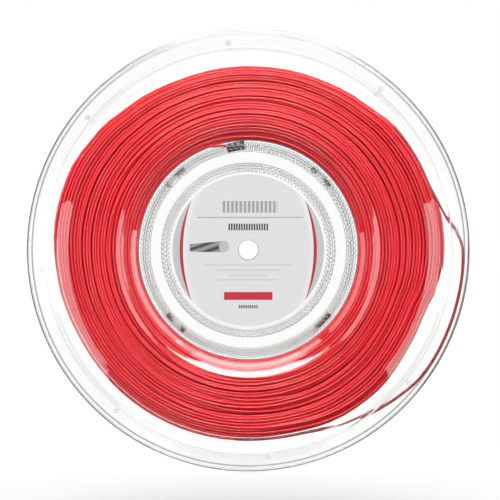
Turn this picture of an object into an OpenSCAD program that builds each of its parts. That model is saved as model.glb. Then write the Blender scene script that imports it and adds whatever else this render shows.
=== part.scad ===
// String reel: a clear moulded reel that holds a pack of wound racket string.
// The reel stands upright: its spindle axis is the Y axis, its front label
// faces -Y, and the origin is in the middle of the spindle bore.
//
// Two clear halves snap together on their barrels. Each half is a flange that
// steps outward from the dished hub to the rim. The string is wound on the
// barrel, and a clear strip round the outside keeps its springy turns in.

/* [Flanges] */
// Outer diameter of both flanges
flange_d = 200; // [196:1:215]
// Thickness of the moulded wall
wall = 1.5; // [1.2:0.1:2]
// Width between the webs, where the string is wound
inner_w = 24; // [22:0.5:30]
// Radial width of the flat channel next to the rim
channel_w = 8.5; // [7:0.5:9.5]
// How far the channel stands out from the shelf
channel_rise = 1.6; // [1:0.1:2.4]
// Radial run of the curved step up to the channel
step_run = 3; // [2:0.5:4]
// Radial width of the shelf between ramp and step
shelf_w = 1; // [0.5:0.5:3]
// Radial run of the ramp up to the shelf
ramp_run = 6.5; // [4:0.5:7.5]
// How far the shelf stands out from the web
ramp_rise = 1; // [0.6:0.1:1.6]
// Rounding of the rim
rim_round = 0.4; // [0.2:0.05:0.5]

/* [Hub] */
// Outer diameter of the barrel that the string is wound on
barrel_d = 98; // [92:1:102]
// Thickness of the barrel's wall
barrel_wall = 1.8; // [1.4:0.1:2.2]
// Flat of the hub face outside the barrel
hub_margin = 2; // [1.5:0.5:3]
// Radial run of the dish between hub face and web
dish_run = 9; // [7:0.5:11]
// Depth of the dished hub face below the web
dish_depth = 4.5; // [3:0.5:5.5]
// Height of the two textured rings on the hub face
ring_h = 0.6; // [0.3:0.1:0.8]
// Radial width of the textured ring over the barrel
outer_ring_w = 4.1; // [3:0.1:5]
// How far that ring reaches past the barrel
outer_ring_over = 0.4; // [0:0.1:1]
// Radial width of the textured ring round the label
inner_ring_w = 4.4; // [3:0.1:5]

/* [Spindle tube] */
// Bore that the stringer's spindle goes through
bore_d = 9; // [7:0.1:11]
// Wall of the tube round the bore
tube_wall = 1.6; // [1.2:0.1:2.5]
// Height of the rear collar that the front tube enters
collar_h = 5; // [3:0.5:8]

/* [Snap joint] */
// Radial clearance where one half enters the other
joint_clear = 0.1; // [0.05:0.05:0.2]
// Gap left at the end of the front barrel and tube
end_clear = 0.1; // [0.05:0.05:0.3]
// Wall of the rear sleeve inside the barrel
sleeve_wall = 1.6; // [1.2:0.1:2.2]
// Height of the closed rear sleeve
sleeve_h = 7; // [5:0.5:7.5]
// Number of snap fingers on the sleeve
finger_n = 4; // [3:1:6]
// Width of each finger, in degrees round the axis
finger_deg = 14; // [10:1:18]
// Height of the fingers above the rear hub
finger_h = 11; // [10.5:0.5:12]
// Height of the barb at a finger's tip
barb_h = 2.4; // [1.8:0.2:2.6]
// Upright edge of the barb below its ramp
barb_edge = 0.4; // [0.2:0.1:0.6]
// How far the barb bites into the barrel's window
barb_bite = 1.2; // [0.8:0.1:1.3]
// Gap round each barb in its window
window_clear = 0.2; // [0.1:0.05:0.4]

/* [String] */
// Diameter of the string
string_d = 1.3; // [1.1:0.05:1.4]
// Outer diameter of the wound pack
pack_d = 170; // [150:1:171]
// Rounding of the pack's outer edges
pack_round = 3; // [1:0.5:5]
// Gap between the pack and the clear walls
pack_clear = 0.3; // [0.2:0.05:0.4]
// Spacing of the ridges that the turns of string form
ridge_pitch = 2.6; // [2:0.1:6]
// Height of these ridges
ridge_h = 0.6; // [0.2:0.1:0.8]

/* [String start] */
// Width of the notch in the barrel's front end
notch_w = 11.5; // [11:0.5:14]
// Depth of the notch below the front hub
notch_h = 3; // [2:0.5:4]
// Length of the black tape, round the barrel
tape_len = 10; // [6:0.5:10.5]
// Width of the black tape, across the barrel's wall
tape_w = 5; // [3:0.5:5.5]
// How far the tape reaches past the barrel
tape_over = 1.5; // [0.5:0.1:1.5]
// Thickness of the black tape
tape_t = 0.2; // [0.1:0.05:0.3]
// Gap between the tape and the string that it covers
tail_gap = 0.05; // [0.05:0.05:0.1]

/* [Retaining strip] */
// Thickness of the clear film
film_t = 0.25; // [0.2:0.05:0.3]
// Depth of the grooves that the strip's edges run in
groove_depth = 0.6; // [0.4:0.1:0.8]
// Flange left outside the groove
groove_lip = 0.7; // [0.6:0.1:0.9]
// Radial running gap on each side of the strip in its groove
strip_clear = 0.1; // [0.05:0.01:0.1]
// Gap between the strip's edges and the groove's bottom
strip_end_clear = 0.15; // [0.1:0.05:0.2]
// Length of the strip's overlapping end, in degrees
overlap_deg = 16; // [8:1:30]

/* [Labels] */
// Outer diameter of each paper label
label_d = 71; // [60:0.5:71]
// Thickness of the label
label_t = 0.2; // [0.1:0.05:0.3]
// How much wider than the bore the label's hole is, on each side
label_hole_gap = 0.15; // [0.1:0.05:1]
// Gap between the label and the textured ring round it
label_gap = 0.3; // [0.2:0.1:1]

/* [Hidden] */
$fn = 180;
eps = 0.01;

// Radii, from the rim inward
rim_r = flange_d / 2;
channel_r = rim_r - channel_w;
shelf_out_r = channel_r - step_run;
shelf_in_r = shelf_out_r - shelf_w;
web_r = shelf_in_r - ramp_run;
barrel_r = barrel_d / 2;
barrel_in_r = barrel_r - barrel_wall;
hub_r = barrel_r + hub_margin;
dish_r = hub_r + dish_run;
bore_r = bore_d / 2;
tube_r = bore_r + tube_wall;

// Inner faces of a half, measured from the middle of the reel
web_z = inner_w / 2;
hub_z = web_z - dish_depth;
shelf_z = web_z + ramp_rise;
channel_z = shelf_z + channel_rise;

// Textured rings
outer_ring_r = barrel_r + outer_ring_over;
inner_ring_r = label_d / 2 + label_gap;

// Rear sleeve, fingers and the windows for their barbs
sleeve_r = barrel_in_r - joint_clear;
finger_top_z = finger_h - hub_z;
barb_z = finger_top_z - barb_h;
finger_pitch = 360 / finger_n;
window_deg = finger_deg + 2 * window_clear / barrel_r * 180 / PI;

// Retaining strip: its overlapping end lies inside the closed ring
strip_r = rim_r - groove_lip - strip_clear;
groove_out_r = rim_r - groove_lip;
groove_in_r = strip_r - 2 * film_t - strip_clear;
strip_z = channel_z + groove_depth - strip_end_clear;
overlap_at = 118;

// String start, at the top of the barrel
notch_at = 97;
notch_deg = notch_w / barrel_r * 180 / PI;
tape_deg = tape_len / barrel_r * 180 / PI;
tape_r = barrel_r + tape_over;

// Routes of the string, as [angle, radius, distance in front of the middle].
// The free turn springs out of the pack and lies along the strip.
free_turn_route = [
    [40, 86.8, 8], [28, 87, 8], [19, 87.3, 8], [13, 89.4, 7.8],
    [9, 92, 7.5], [5, 95, 7], [1, 97.2, 6.6], [-5, 97.8, 6.2],
    [-14, 97.8, 6], [-24, 97.8, 6], [-32, 97.7, 6.1], [-38, 97.1, 6.3],
    [-44, 95.4, 6.6], [-51, 93.4, 7], [-58, 91.2, 7.4], [-65, 88.8, 7.7],
    [-72, 87, 8], [-82, 86.2, 8], [-94, 86.1, 8]
];
tail_z = hub_z - tape_t - tail_gap - string_d / 2;
tail_route = [
    [notch_at + 5.5, barrel_r - 0.4, tail_z], [notch_at + 3, barrel_r - 0.8, tail_z],
    [notch_at, barrel_r - 1.4, tail_z], [notch_at - 3, barrel_r - 2, tail_z],
    [notch_at - 5.5, barrel_r - 2.4, tail_z]
];

// ---- Helpers ----

// Turns a shape made along +Z so that its front faces -Y.
module upright() {
    rotate([90, 0, 0]) children();
}

// A ring of rectangular section between two radii and two heights.
module ring(r_in, r_out, z_low, z_high) {
    translate([0, 0, z_low])
        difference() {
            cylinder(r = r_out, h = z_high - z_low);
            translate([0, 0, -1]) cylinder(r = r_in, h = z_high - z_low + 2);
        }
}

// The part of such a ring that is centred on one angle.
module arc_block(r_in, r_out, z_low, z_high, at, deg) {
    rotate([0, 0, at - deg / 2])
        rotate_extrude(angle = deg)
            polygon([[r_in, z_low], [r_out, z_low], [r_out, z_high], [r_in, z_high]]);
}

// Depth of the inner face between hub and web: a bowl that is steep at the hub
// and runs out level at the web.
function bowl_z(r) =
    let (share = min(max((r - hub_r) / dish_run, 0), 1))
    hub_z + dish_depth * (1 - (1 - share) * (1 - share));

// Points of a quarter ellipse that starts level and ends upright.
function rise_curve(r0, z0, run, rise, steps = 6) = [
    for (i = [0:steps])
        [r0 + run * sin(90 * i / steps), z0 + rise * (1 - cos(90 * i / steps))]
];

// One face of the flange from the hub outward to the rim, lifted by up.
function flange_face(up, steps = 8) = concat(
    [for (i = [0:steps]) let (r = hub_r + dish_run * i / steps) [r, bowl_z(r) + up]],
    [[web_r, web_z + up], [shelf_in_r, shelf_z + up]],
    rise_curve(shelf_out_r, shelf_z + up, step_run, channel_rise)
);

// Section of a flange with its rounded rim.
function flange_section(r_hole) = concat(
    [[r_hole, hub_z]],
    flange_face(0),
    [
        [rim_r - rim_round, channel_z], [rim_r, channel_z + rim_round],
        [rim_r, channel_z + wall - rim_round], [rim_r - rim_round, channel_z + wall]
    ],
    [for (i = [len(flange_face(0)) - 1:-1:0]) flange_face(wall)[i]],
    [[r_hole, hub_z + wall]]
);

// A flange plate with its groove and textured rings, front face up.
module flange_plate() {
    difference() {
        rotate_extrude() polygon(flange_section(bore_r));
        ring(groove_in_r, groove_out_r, channel_z - 1, channel_z + groove_depth);
    }
    ring(outer_ring_r - outer_ring_w, outer_ring_r, hub_z + wall - eps, hub_z + wall + ring_h);
    ring(inner_ring_r, inner_ring_r + inner_ring_w, hub_z + wall - eps, hub_z + wall + ring_h);
}

// A round cord swept along points, with 8 sides.
module swept_cord(points, d) {
    sides = 8;
    last = len(points) - 1;
    along = [
        for (i = [0:last]) points[min(i + 1, last)] - points[max(i - 1, 0)]
    ];
    rings = [
        for (i = [0:last])
            let (t = along[i] / norm(along[i]), u = cross([0, 0, 1], t), side = u / norm(u))
            for (k = [0:sides - 1])
                let (a = 360 * k / sides)
                points[i] + d / 2 * (cos(a) * side + sin(a) * cross(t, side))
    ];
    walls = [
        for (i = [0:last - 1], k = [0:sides - 1])
            let (a = i * sides + k, b = i * sides + (k + 1) % sides)
            [a, b, b + sides, a + sides]
    ];
    polyhedron(
        points = rings,
        faces = concat(
            [[for (k = [sides - 1:-1:0]) k]],
            [for (w = walls) [w[0], w[1], w[2]]],
            [for (w = walls) [w[0], w[2], w[3]]],
            [[for (k = [0:sides - 1]) last * sides + k]]
        )
    );
}

// A smooth curve through the route's points, in polar form.
function spline(p0, p1, p2, p3, t) = 0.5 * (
    2 * p1 + (p2 - p0) * t + (2 * p0 - 5 * p1 + 4 * p2 - p3) * t * t
    + (3 * p1 - p0 - 3 * p2 + p3) * t * t * t
);
function smooth(route, steps) = let (last = len(route) - 1) concat(
    [
        for (i = [0:last - 1], s = [0:steps - 1])
            spline(route[max(i - 1, 0)], route[i], route[i + 1], route[min(i + 2, last)], s / steps)
    ],
    [route[last]]
);
function unwound(route) = [for (p = route) [p[1] * cos(p[0]), p[1] * sin(p[0]), p[2]]];

// ---- Sub-parts ----

// Front half: flange, whole barrel with windows, and the spindle tube.
module front_flange() {
    color([0.93, 0.95, 0.96, 0.45])
        upright() {
            flange_plate();
            difference() {
                ring(barrel_in_r, barrel_r, end_clear - hub_z, hub_z + eps);
                for (i = [0:finger_n - 1])
                    arc_block(
                        barrel_in_r - 1, barrel_r + 1, barb_z - window_clear,
                        finger_top_z + window_clear, (i + 0.5) * finger_pitch, window_deg
                    );
                arc_block(barrel_in_r - 1, barrel_r + 1, hub_z - notch_h, hub_z, notch_at, notch_deg);
            }
            ring(bore_r, tube_r, end_clear - hub_z, hub_z + eps);
        }
}

// Rear half: flange, short sleeve with snap fingers, and the tube's collar.
module rear_flange() {
    color([0.90, 0.92, 0.94, 0.45])
        upright() {
            mirror([0, 0, 1]) flange_plate();
            snap_sleeve();
            ring(tube_r + joint_clear, tube_r + joint_clear + tube_wall, -hub_z - eps, collar_h - hub_z);
        }
}

// The sleeve with its snap fingers: a barbed ring, cut away between fingers.
module snap_sleeve() {
    sleeve_in_r = sleeve_r - sleeve_wall;
    difference() {
        rotate_extrude()
            polygon([
                [sleeve_in_r, -hub_z - eps], [sleeve_r, -hub_z - eps], [sleeve_r, barb_z],
                [sleeve_r + barb_bite, barb_z], [sleeve_r + barb_bite, barb_z + barb_edge],
                [sleeve_r, finger_top_z], [sleeve_in_r, finger_top_z]
            ]);
        for (i = [0:finger_n - 1])
            arc_block(
                sleeve_in_r - 1, sleeve_r + barb_bite + 1, sleeve_h - hub_z, finger_top_z + 1,
                i * finger_pitch, finger_pitch - finger_deg
            );
    }
}

// The wound string, as one solid of its outer shape. Ridges stand for its
// turns: those on each side follow the bowl and the web, and those round the
// outside are as far apart.
module string_pack() {
    pack_r = pack_d / 2;
    edge_z = web_z - pack_clear - pack_round;
    side_run = pack_r - pack_round - hub_r;
    side_n = round(side_run / ridge_pitch);
    outside_n = round(2 * edge_z / ridge_pitch);
    side = concat(
        [[barrel_r + pack_clear, hub_z - pack_clear]],
        [
            for (i = [0:2 * side_n])
                let (r = hub_r + side_run * i / side_n / 2)
                [r, bowl_z(r) - pack_clear - i % 2 * ridge_h]
        ],
        [[pack_r, edge_z]]
    );
    outside = [
        for (i = [1:2 * outside_n - 1])
            [pack_r - i % 2 * ridge_h, edge_z * (1 - i / outside_n)]
    ];
    color("crimson")
        upright()
            rotate_extrude()
                polygon(concat(
                    side, outside, [for (i = [len(side) - 1:-1:0]) [side[i][0], -side[i][1]]]
                ));
}

// The sprung outer turn between the pack and the strip.
module free_turn() {
    color("firebrick")
        upright() swept_cord(unwound(smooth(free_turn_route, 4)), string_d);
}

// The first centimetre of string, led through the notch into the barrel.
module string_tail() {
    color("firebrick")
        upright() swept_cord(unwound(smooth(tail_route, 2)), string_d);
}

// Black tape on the inside of the front hub, over the notch.
module start_tape() {
    color([0.07, 0.07, 0.08])
        upright()
            arc_block(tape_r - tape_w, tape_r, hub_z - tape_t, hub_z, notch_at, tape_deg);
}

// Clear film strip in the flanges' grooves, with its overlapping end.
module retaining_strip() {
    color([0.85, 0.88, 0.90, 0.35])
        upright() {
            ring(strip_r - film_t, strip_r, -strip_z, strip_z);
            arc_block(
                strip_r - 2 * film_t, strip_r - film_t / 2, -strip_z, strip_z, overlap_at, overlap_deg
            );
        }
}

// A paper label on a hub face, front face up.
module label() {
    ring(bore_r + label_hole_gap, label_d / 2, hub_z + wall, hub_z + wall + label_t);
}

module front_label() {
    color([0.86, 0.86, 0.87]) upright() label();
}

module rear_label() {
    color([0.86, 0.86, 0.87]) upright() mirror([0, 0, 1]) label();
}

front_flange();
rear_flange();
string_pack();
free_turn();
string_tail();
start_tape();
retaining_strip();
front_label();
rear_label();
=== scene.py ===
# %% [markdown]
# # A clear reel of red racket string
#
# The reel is two clear moulded halves, snapped together on their barrels, with about two hundred metres of
# red string wound between them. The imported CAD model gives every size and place. This lesson dresses it:
# the clear halves are drawn again as smooth turned shapes, and the string becomes real turns.

# %% Load the frame
import math
import random

import bpy
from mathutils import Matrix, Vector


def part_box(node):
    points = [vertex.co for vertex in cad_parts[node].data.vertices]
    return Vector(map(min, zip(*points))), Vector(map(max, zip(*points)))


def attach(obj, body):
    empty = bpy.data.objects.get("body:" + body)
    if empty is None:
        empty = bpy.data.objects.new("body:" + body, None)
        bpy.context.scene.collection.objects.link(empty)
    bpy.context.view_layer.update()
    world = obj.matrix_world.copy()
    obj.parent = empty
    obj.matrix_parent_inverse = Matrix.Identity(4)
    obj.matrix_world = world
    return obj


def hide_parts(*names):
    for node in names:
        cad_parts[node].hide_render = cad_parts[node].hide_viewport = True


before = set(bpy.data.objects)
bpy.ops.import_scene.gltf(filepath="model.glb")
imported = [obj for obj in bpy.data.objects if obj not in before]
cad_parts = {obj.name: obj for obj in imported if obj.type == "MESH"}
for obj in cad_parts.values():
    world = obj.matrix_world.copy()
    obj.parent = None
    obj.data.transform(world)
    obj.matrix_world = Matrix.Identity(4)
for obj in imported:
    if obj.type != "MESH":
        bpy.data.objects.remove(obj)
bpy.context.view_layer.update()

MM = 0.001
BODY = "reel"
rim_low, rim_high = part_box("front_flange")
RIM_R = rim_high.x / MM
FACE_D = -rim_low.y / MM
print("Nodes:", sorted(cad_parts))
print(f"Rim radius {RIM_R:.1f} mm, front face {FACE_D:.1f} mm in front of the middle")

# %% [markdown]
# ## The camera
#
# A reel like this is shown from straight in front, through a long lens, so that both flanges nearly cover
# each other. The rear rim shows just inside the front one, and how far inside tells the distance: about
# one and a half metres for this width. A long lens at that distance keeps the same perspective.

# %% The camera
CAMERA_AWAY = 1503 * MM
CAMERA_RISE = math.radians(0.35)
CAMERA_ASIDE = 0.78 * MM
LENS = 237

camera_data = bpy.data.cameras.new("camera")
camera_data.lens = LENS
camera = bpy.data.objects.new("camera", camera_data)
bpy.context.scene.collection.objects.link(camera)
bpy.context.scene.camera = camera
camera.location = (
    CAMERA_ASIDE, -CAMERA_AWAY * math.cos(CAMERA_RISE), CAMERA_AWAY * math.sin(CAMERA_RISE)
)
camera.rotation_euler = (math.pi / 2 - CAMERA_RISE, 0, 0)
print(f"Camera {CAMERA_AWAY:.3f} m away, lens {LENS} mm")

# %% [markdown]
# ## The sprung turn of string
#
# The outermost turn has sprung off the pack. It leaves the pack at the upper right, runs out to the clear
# strip between the rims, lies along it, and goes back into the pack at the bottom. It is a round cord, so
# a curve with a bevel is drawn along it and made a mesh, which keeps a map of the string's length and
# girth for its twist. Its points are angle, radius and distance in front of the middle, as in the CAD
# model, with a smooth line drawn through them.

# %% A smooth line through points in polar form
STRING_D = 1.3
FREE_TURN = [
    (40, 86.8, 8), (28, 87, 8), (19, 87.3, 8), (13, 89.4, 7.8), (9, 92, 7.5), (5, 95, 7),
    (1, 97.2, 6.6), (-5, 97.8, 6.2), (-14, 97.8, 6), (-24, 97.8, 6), (-32, 97.7, 6.1),
    (-38, 97.1, 6.3), (-44, 95.4, 6.6), (-51, 93.4, 7), (-58, 91.2, 7.4), (-65, 88.8, 7.7),
    (-72, 87, 8), (-82, 86.2, 8), (-94, 86.1, 8),
]


def place(angle, radius, depth):
    """A point in metres from an angle in degrees, and a radius and depth in millimetres."""
    a = math.radians(angle)
    return (radius * math.cos(a) * MM, -depth * MM, radius * math.sin(a) * MM)


def smooth_line(stations, steps):
    """Points of a smooth line through the stations, with so many steps between two."""
    last = len(stations) - 1
    points = []
    for i in range(last):
        four = [stations[min(max(i + k, 0), last)] for k in (-1, 0, 1, 2)]
        for s in range(steps):
            t = s / steps
            points.append(place(*[
                0.5 * (2 * b + (c - a) * t + (2 * a - 5 * b + 4 * c - d) * t ** 2
                       + (3 * b - a - 3 * c + d) * t ** 3)
                for a, b, c, d in zip(*four)
            ]))
    points.append(place(*stations[last]))
    return points


def length_of(points):
    """The length of a line through points."""
    return sum(math.dist(a, b) for a, b in zip(points, points[1:]))


# %% String as a mesh
def all_off():
    """Selects nothing, in object mode."""
    if bpy.context.mode != "OBJECT":
        bpy.ops.object.mode_set(mode="OBJECT")
    bpy.ops.object.select_all(action="DESELECT")


def make_active(piece):
    """Selects one piece alone."""
    all_off()
    piece.select_set(True)
    bpy.context.view_layer.objects.active = piece


def finish_piece(piece, slot, *nodes, body=BODY):
    """Lets a piece ride on its body, in place of its CAD nodes."""
    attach(piece, body)
    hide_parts(*nodes)
    triangles = sum(len(p.vertices) - 2 for p in piece.data.polygons)
    print(f"{piece.name}: {triangles} triangles")


def string_mesh(name, points, sides, node):
    """A length of string as a mesh, with the girth of a round one, mapped in millimetres and turns."""
    data = bpy.data.curves.new(name, "CURVE")
    data.dimensions = "3D"
    data.bevel_depth = STRING_D / 2 * MM * math.pi / sides / math.sin(math.pi / sides)
    data.bevel_resolution = sides // 2 - 2
    data.use_fill_caps = True
    spline = data.splines.new("POLY")
    spline.points.add(len(points) - 1)
    spline.points.foreach_set("co", [v for p in points for v in (*p, 1.0)])
    curve = bpy.data.objects.new(name, data)
    bpy.context.scene.collection.objects.link(curve)
    make_active(curve)
    bpy.ops.object.convert(target="MESH")
    piece = bpy.context.object
    corners = [0.0] * (2 * len(piece.data.loops))
    chart = piece.data.uv_layers[0].data
    chart.foreach_get("uv", corners)
    long = length_of(points) / MM
    corners[0::2] = [u * long for u in corners[0::2]]
    chart.foreach_set("uv", corners)
    bpy.ops.object.shade_smooth()
    finish_piece(piece, "string", node)
    return piece


# %% The sprung turn
FREE_STEPS, FREE_SIDES = 8, 12

free_points = smooth_line(FREE_TURN, FREE_STEPS)
free_turn = string_mesh("sprung_turn", free_points, FREE_SIDES, "free_turn")
print(f"Sprung turn: {length_of(free_points) / MM:.1f} mm of string")

# %% [markdown]
# ## Helpers for materials
#
# Colours are written as on a colour chart, in sRGB, and one function turns them to the linear values that
# the renderer works with. Another small function adds a node with its settings and its links.

# %% Colours and nodes
def linear(chart):
    """A colour chart's hex value as linear red, green, blue and alpha."""
    parts = [int(chart[i:i + 2], 16) / 255 for i in (1, 3, 5)]
    return (*[c / 12.92 if c <= 0.04045 else ((c + 0.055) / 1.055) ** 2.4 for c in parts], 1.0)


def add(tree, kind, inputs=None, **settings):
    """Adds a node. Each input is a value, an output to link, or a node whose first output is linked."""
    made = tree.nodes.new("ShaderNode" + kind)
    made.location.x = 200 * len(tree.nodes)
    for name, value in settings.items():
        setattr(made, name, value)
    for socket, value in (inputs or {}).items():
        if isinstance(value, bpy.types.Node):
            value = value.outputs[0]
        if isinstance(value, bpy.types.NodeSocket):
            tree.links.new(value, made.inputs[socket])
        else:
            made.inputs[socket].default_value = value
    return made


def new_material(name):
    """An empty material and its node tree."""
    material = bpy.data.materials.new(name)
    material.use_nodes = True
    material.node_tree.nodes.clear()
    return material, material.node_tree


# %% [markdown]
# ## Red co-polyester string
#
# Racket string is extruded co-polyester. This one has a few flutes along it and is twisted, so its gloss
# breaks into short dashes. The flutes follow the string's own length and girth, which are its UV map, in
# millimetres along and in turns around. Depth of colour comes from light that goes to and fro between the
# turns, and from the dark gaps between them, which are real gaps. The sprung turn is the same string, drawn
# with a darker copy of its red: painted shade. The red drifts a little every eighteen millimetres.

# %% The string's material
FLUTES, FLUTE_DEPTH = 5, 0.06
TWIST_PITCH = 6.0
TONE_PATCH = 18.18


def string_plastic(name, low, high):
    """Twisted co-polyester string, whose colour drifts between two tones."""
    material, tree = new_material(name)
    along = add(tree, "SeparateXYZ", {0: add(tree, "UVMap")})
    around = add(tree, "Math", {0: along.outputs["Y"], 1: float(FLUTES)}, operation="MULTIPLY")
    twist = add(tree, "Math", {
        0: along.outputs["X"], 1: FLUTES / TWIST_PITCH, 2: around,
    }, operation="MULTIPLY_ADD")
    turned = add(tree, "Math", {0: twist, 1: 2 * math.pi}, operation="MULTIPLY")
    flute = add(tree, "Math", {0: turned}, operation="SINE")
    solid = add(tree, "TexCoord")
    drift = add(tree, "TexNoise", {
        "Vector": solid.outputs["Object"], "Scale": 1 / (TONE_PATCH * MM), "Detail": 2.0,
    })
    tone = add(tree, "ValToRGB", {0: drift})
    tone.color_ramp.elements[0].position = 0.35
    tone.color_ramp.elements[0].color = linear(low)
    tone.color_ramp.elements[1].position = 0.7
    tone.color_ramp.elements[1].color = linear(high)
    ridge = add(tree, "Bump", {"Strength": 1.0, "Distance": FLUTE_DEPTH * MM, "Height": flute})
    surface = add(tree, "BsdfPrincipled", {
        "Base Color": tone, "Roughness": 0.2, "IOR": 1.6, "Normal": ridge,
        "Coat Weight": 0.6, "Coat Roughness": 0.1,
    })
    add(tree, "OutputMaterial", {0: surface})
    return material


string_red = string_plastic("co_polyester_string_extruded_twisted", "#fa0c24", "#ff1832")
# The sprung turn's darker copy of the same red is painted shade.
string_painted_shade = string_plastic("co_polyester_string_painted_shade", "#a01c28", "#b42834")
free_turn.data.materials.append(string_painted_shade)
print("String: flutes every", TWIST_PITCH / FLUTES, "mm along it")

# %% [markdown]
# ## The wound pack
#
# The string is wound on the barrel in layers, to and fro between the flanges, and each layer starts where
# the last one stopped. The hub dishes outward, so the inner layers are narrower. The whole length is worked
# out turn by turn along one path. It is cut into three pieces, one above the other, so that none is too
# heavy. A last reading of the path's length shows how near it comes to the reel's two hundred metres.
#
# The springy string doesn't lie as a true circle: the pack bulges to the left and right and is flatter at
# the top and lower right. The bulge grows from nothing at the barrel to its full size at the outside. No
# layer is wound quite to the flange, and each wanders a little, most of all in the middle of the pack,
# which leaves dark gaps of uneven width.

# %% The pack's room and outline
HUB_Z, WEB_Z = 7.5, 12.0
BARREL_R, HUB_R, DISH_R, WEB_R = 49.0, 51.0, 60.0, 81.0
FACET, FACET_SLOPE = 0.78, 0.3
PACK_GAP, FIRST_GAP = 0.3, 1.1
PACK_R = 85.0
PACK_ROUND = 3.0
LAYER_PITCH = 1.275
TURN_PITCH = 1.3
PACK_OUTLINE = [
    (0, 87.2), (10, 87.3), (18, 86.3), (28, 86.0), (40, 85.4), (52, 83.7), (70, 82.6), (90, 82.0),
    (110, 81.9), (130, 83.3), (142, 85.3), (155, 86.5), (170, 86.6), (190, 85.5), (210, 84.4),
    (240, 84.5), (280, 84.4), (300, 86.0), (312, 86.0), (330, 84.3), (340, 84.0), (350, 86.6),
    (360, 87.2),
]


def ease(share):
    """A share from 0 to 1 that starts and ends gently."""
    share = min(max(share, 0.0), 1.0)
    return (3 - 2 * share) * share * share


def outline(angle):
    """Radius of the outermost layer at an angle in degrees, on an easy curve between two pairs."""
    angle %= 360
    for (a, low), (b, high) in zip(PACK_OUTLINE, PACK_OUTLINE[1:]):
        if angle <= b:
            return low + (high - low) * ease((angle - a) / (b - a))


def bowl(radius):
    """Depth of a half's inner face from hub to web: a bowl that ends in a narrow, nearly level facet."""
    share = min(max((radius - HUB_R) / (DISH_R - HUB_R), 0.0), 1.0)
    curve = 1 - (1 - min(share, FACET)) ** 2 + FACET_SLOPE * max(share - FACET, 0.0)
    return HUB_Z + (WEB_Z - HUB_Z) * curve / (1 - (1 - FACET) ** 2 + FACET_SLOPE * (1 - FACET))


def room(radius):
    """How far from the middle the string's centreline may lie, at a radius."""
    rounding = 0.5 * max(0.0, radius - (PACK_R - PACK_ROUND)) ** 1.5 / PACK_ROUND ** 0.5
    return bowl(radius) - rounding - PACK_GAP - STRING_D / 2


# %% The path of the whole winding
TAIL = [(102.5, 48.6, 6.6), (100, 48.2, 6.6), (97, 47.6, 6.6), (94, 47, 6.6), (91.5, 46.6, 6.6)]
TURN_POINTS = 84
REST = 0.75
CLIMB, LEAD_IN = 0.12, 0.03
LEDGE = 1.15
INNER_LEDGE = LEDGE / 3
MORE_OR_LESS = 0.3
OFF_LINE, CALM = 0.3, 0.3
WANDER_IN, WANDER_OUT = 0.3, 0.3
WAVES = (1, 2, 3, 5, 8)

chance = random.Random(7)
first_r = BARREL_R + FIRST_GAP + STRING_D / 2
layers = int((PACK_R - first_r + STRING_D / 2) / LAYER_PITCH)
bulge_top = first_r + (layers - 1) * LAYER_PITCH


def waver():
    """A slow wander round the reel, in millimetres per unit, that closes on itself."""
    waves = [
        (n, chance.uniform(0.3, 1.0) / n ** 0.5, chance.uniform(0, 2 * math.pi)) for n in WAVES
    ]
    return lambda a: sum(size * math.sin(n * a + start) for n, size, start in waves) / 2


def wind():
    """The whole string as one list of angle, radius and depth for each layer."""
    angle, lead, _ = TAIL[0]
    layer_spots, turns_done = [], 0
    radius = first_r
    stop = room(radius)
    for layer in range(layers):
        start, side = stop, -1 if layer % 2 == 0 else 1
        ledge = LEDGE if radius > DISH_R else INNER_LEDGE
        stop = side * (room(radius + LAYER_PITCH * 0.5) - chance.uniform(0, ledge))
        turns = abs(stop - start) / TURN_PITCH + 1 + chance.uniform(-MORE_OR_LESS, MORE_OR_LESS)
        sway, rise = waver(), waver()
        off = chance.uniform(-OFF_LINE, OFF_LINE) if 0 < layer < layers - 1 else 0.0
        spots = []
        for i in range(int(turns * TURN_POINTS)):
            done = i / TURN_POINTS
            share = min(max((done - REST / 2) / (turns - REST), 0.0), 1.0)
            depth = start + (stop - start) * share
            r = radius + LAYER_PITCH * ease(1 - (turns - done) / CLIMB)
            loose = (r - first_r) / (bulge_top - first_r)
            a = math.radians(angle)
            r += loose * loose * (outline(angle) - bulge_top)
            r += (CALM + (1 - CALM) * min(loose, 1 - loose) * 2) * (off + WANDER_OUT * rise(a))
            if layer == 0:
                r = lead + (r - lead) * ease(done / LEAD_IN)
            spots.append((angle, r, depth * (1 - WANDER_IN * abs(sway(a)) / WEB_Z)))
            angle += 360 / TURN_POINTS
        layer_spots.append(spots)
        turns_done += turns
        radius += LAYER_PITCH
    return layer_spots, turns_done


layer_spots, turns_done = wind()
print(f"Winding: {layers} layers, {turns_done:.0f} turns")

# %% [markdown]
# The last layer runs on to where the sprung turn begins. Past the sprung turn, the string goes on round the
# pack, sinks between its neighbours and ends there. So the sprung turn grows out of the pack at both ends.

# %% The way into the sprung turn, and the way out of it
RUN_IN_DEG = 120.0
RUN_OUT_DEG, SINK_DEG, TUCK, SIDEWAYS = 210.0, 14.0, 0.5, 2.0


def run_in(last, goal):
    """Spots that lead from the last one to the end of the sprung turn, over at least a third of a turn."""
    angle, radius, depth = last
    span = (goal[0] - angle - RUN_IN_DEG) % 360 + RUN_IN_DEG
    steps = int(span / 360 * TURN_POINTS)
    spots = []
    for i in range(1, steps + 1):
        share = i / steps
        a = angle + span * share
        proud = (radius - outline(angle)) * (1 - share) + (goal[1] - outline(goal[0])) * share
        spots.append((a, outline(a) + proud, depth + (goal[2] - depth) * ease(share)))
    return spots


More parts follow.
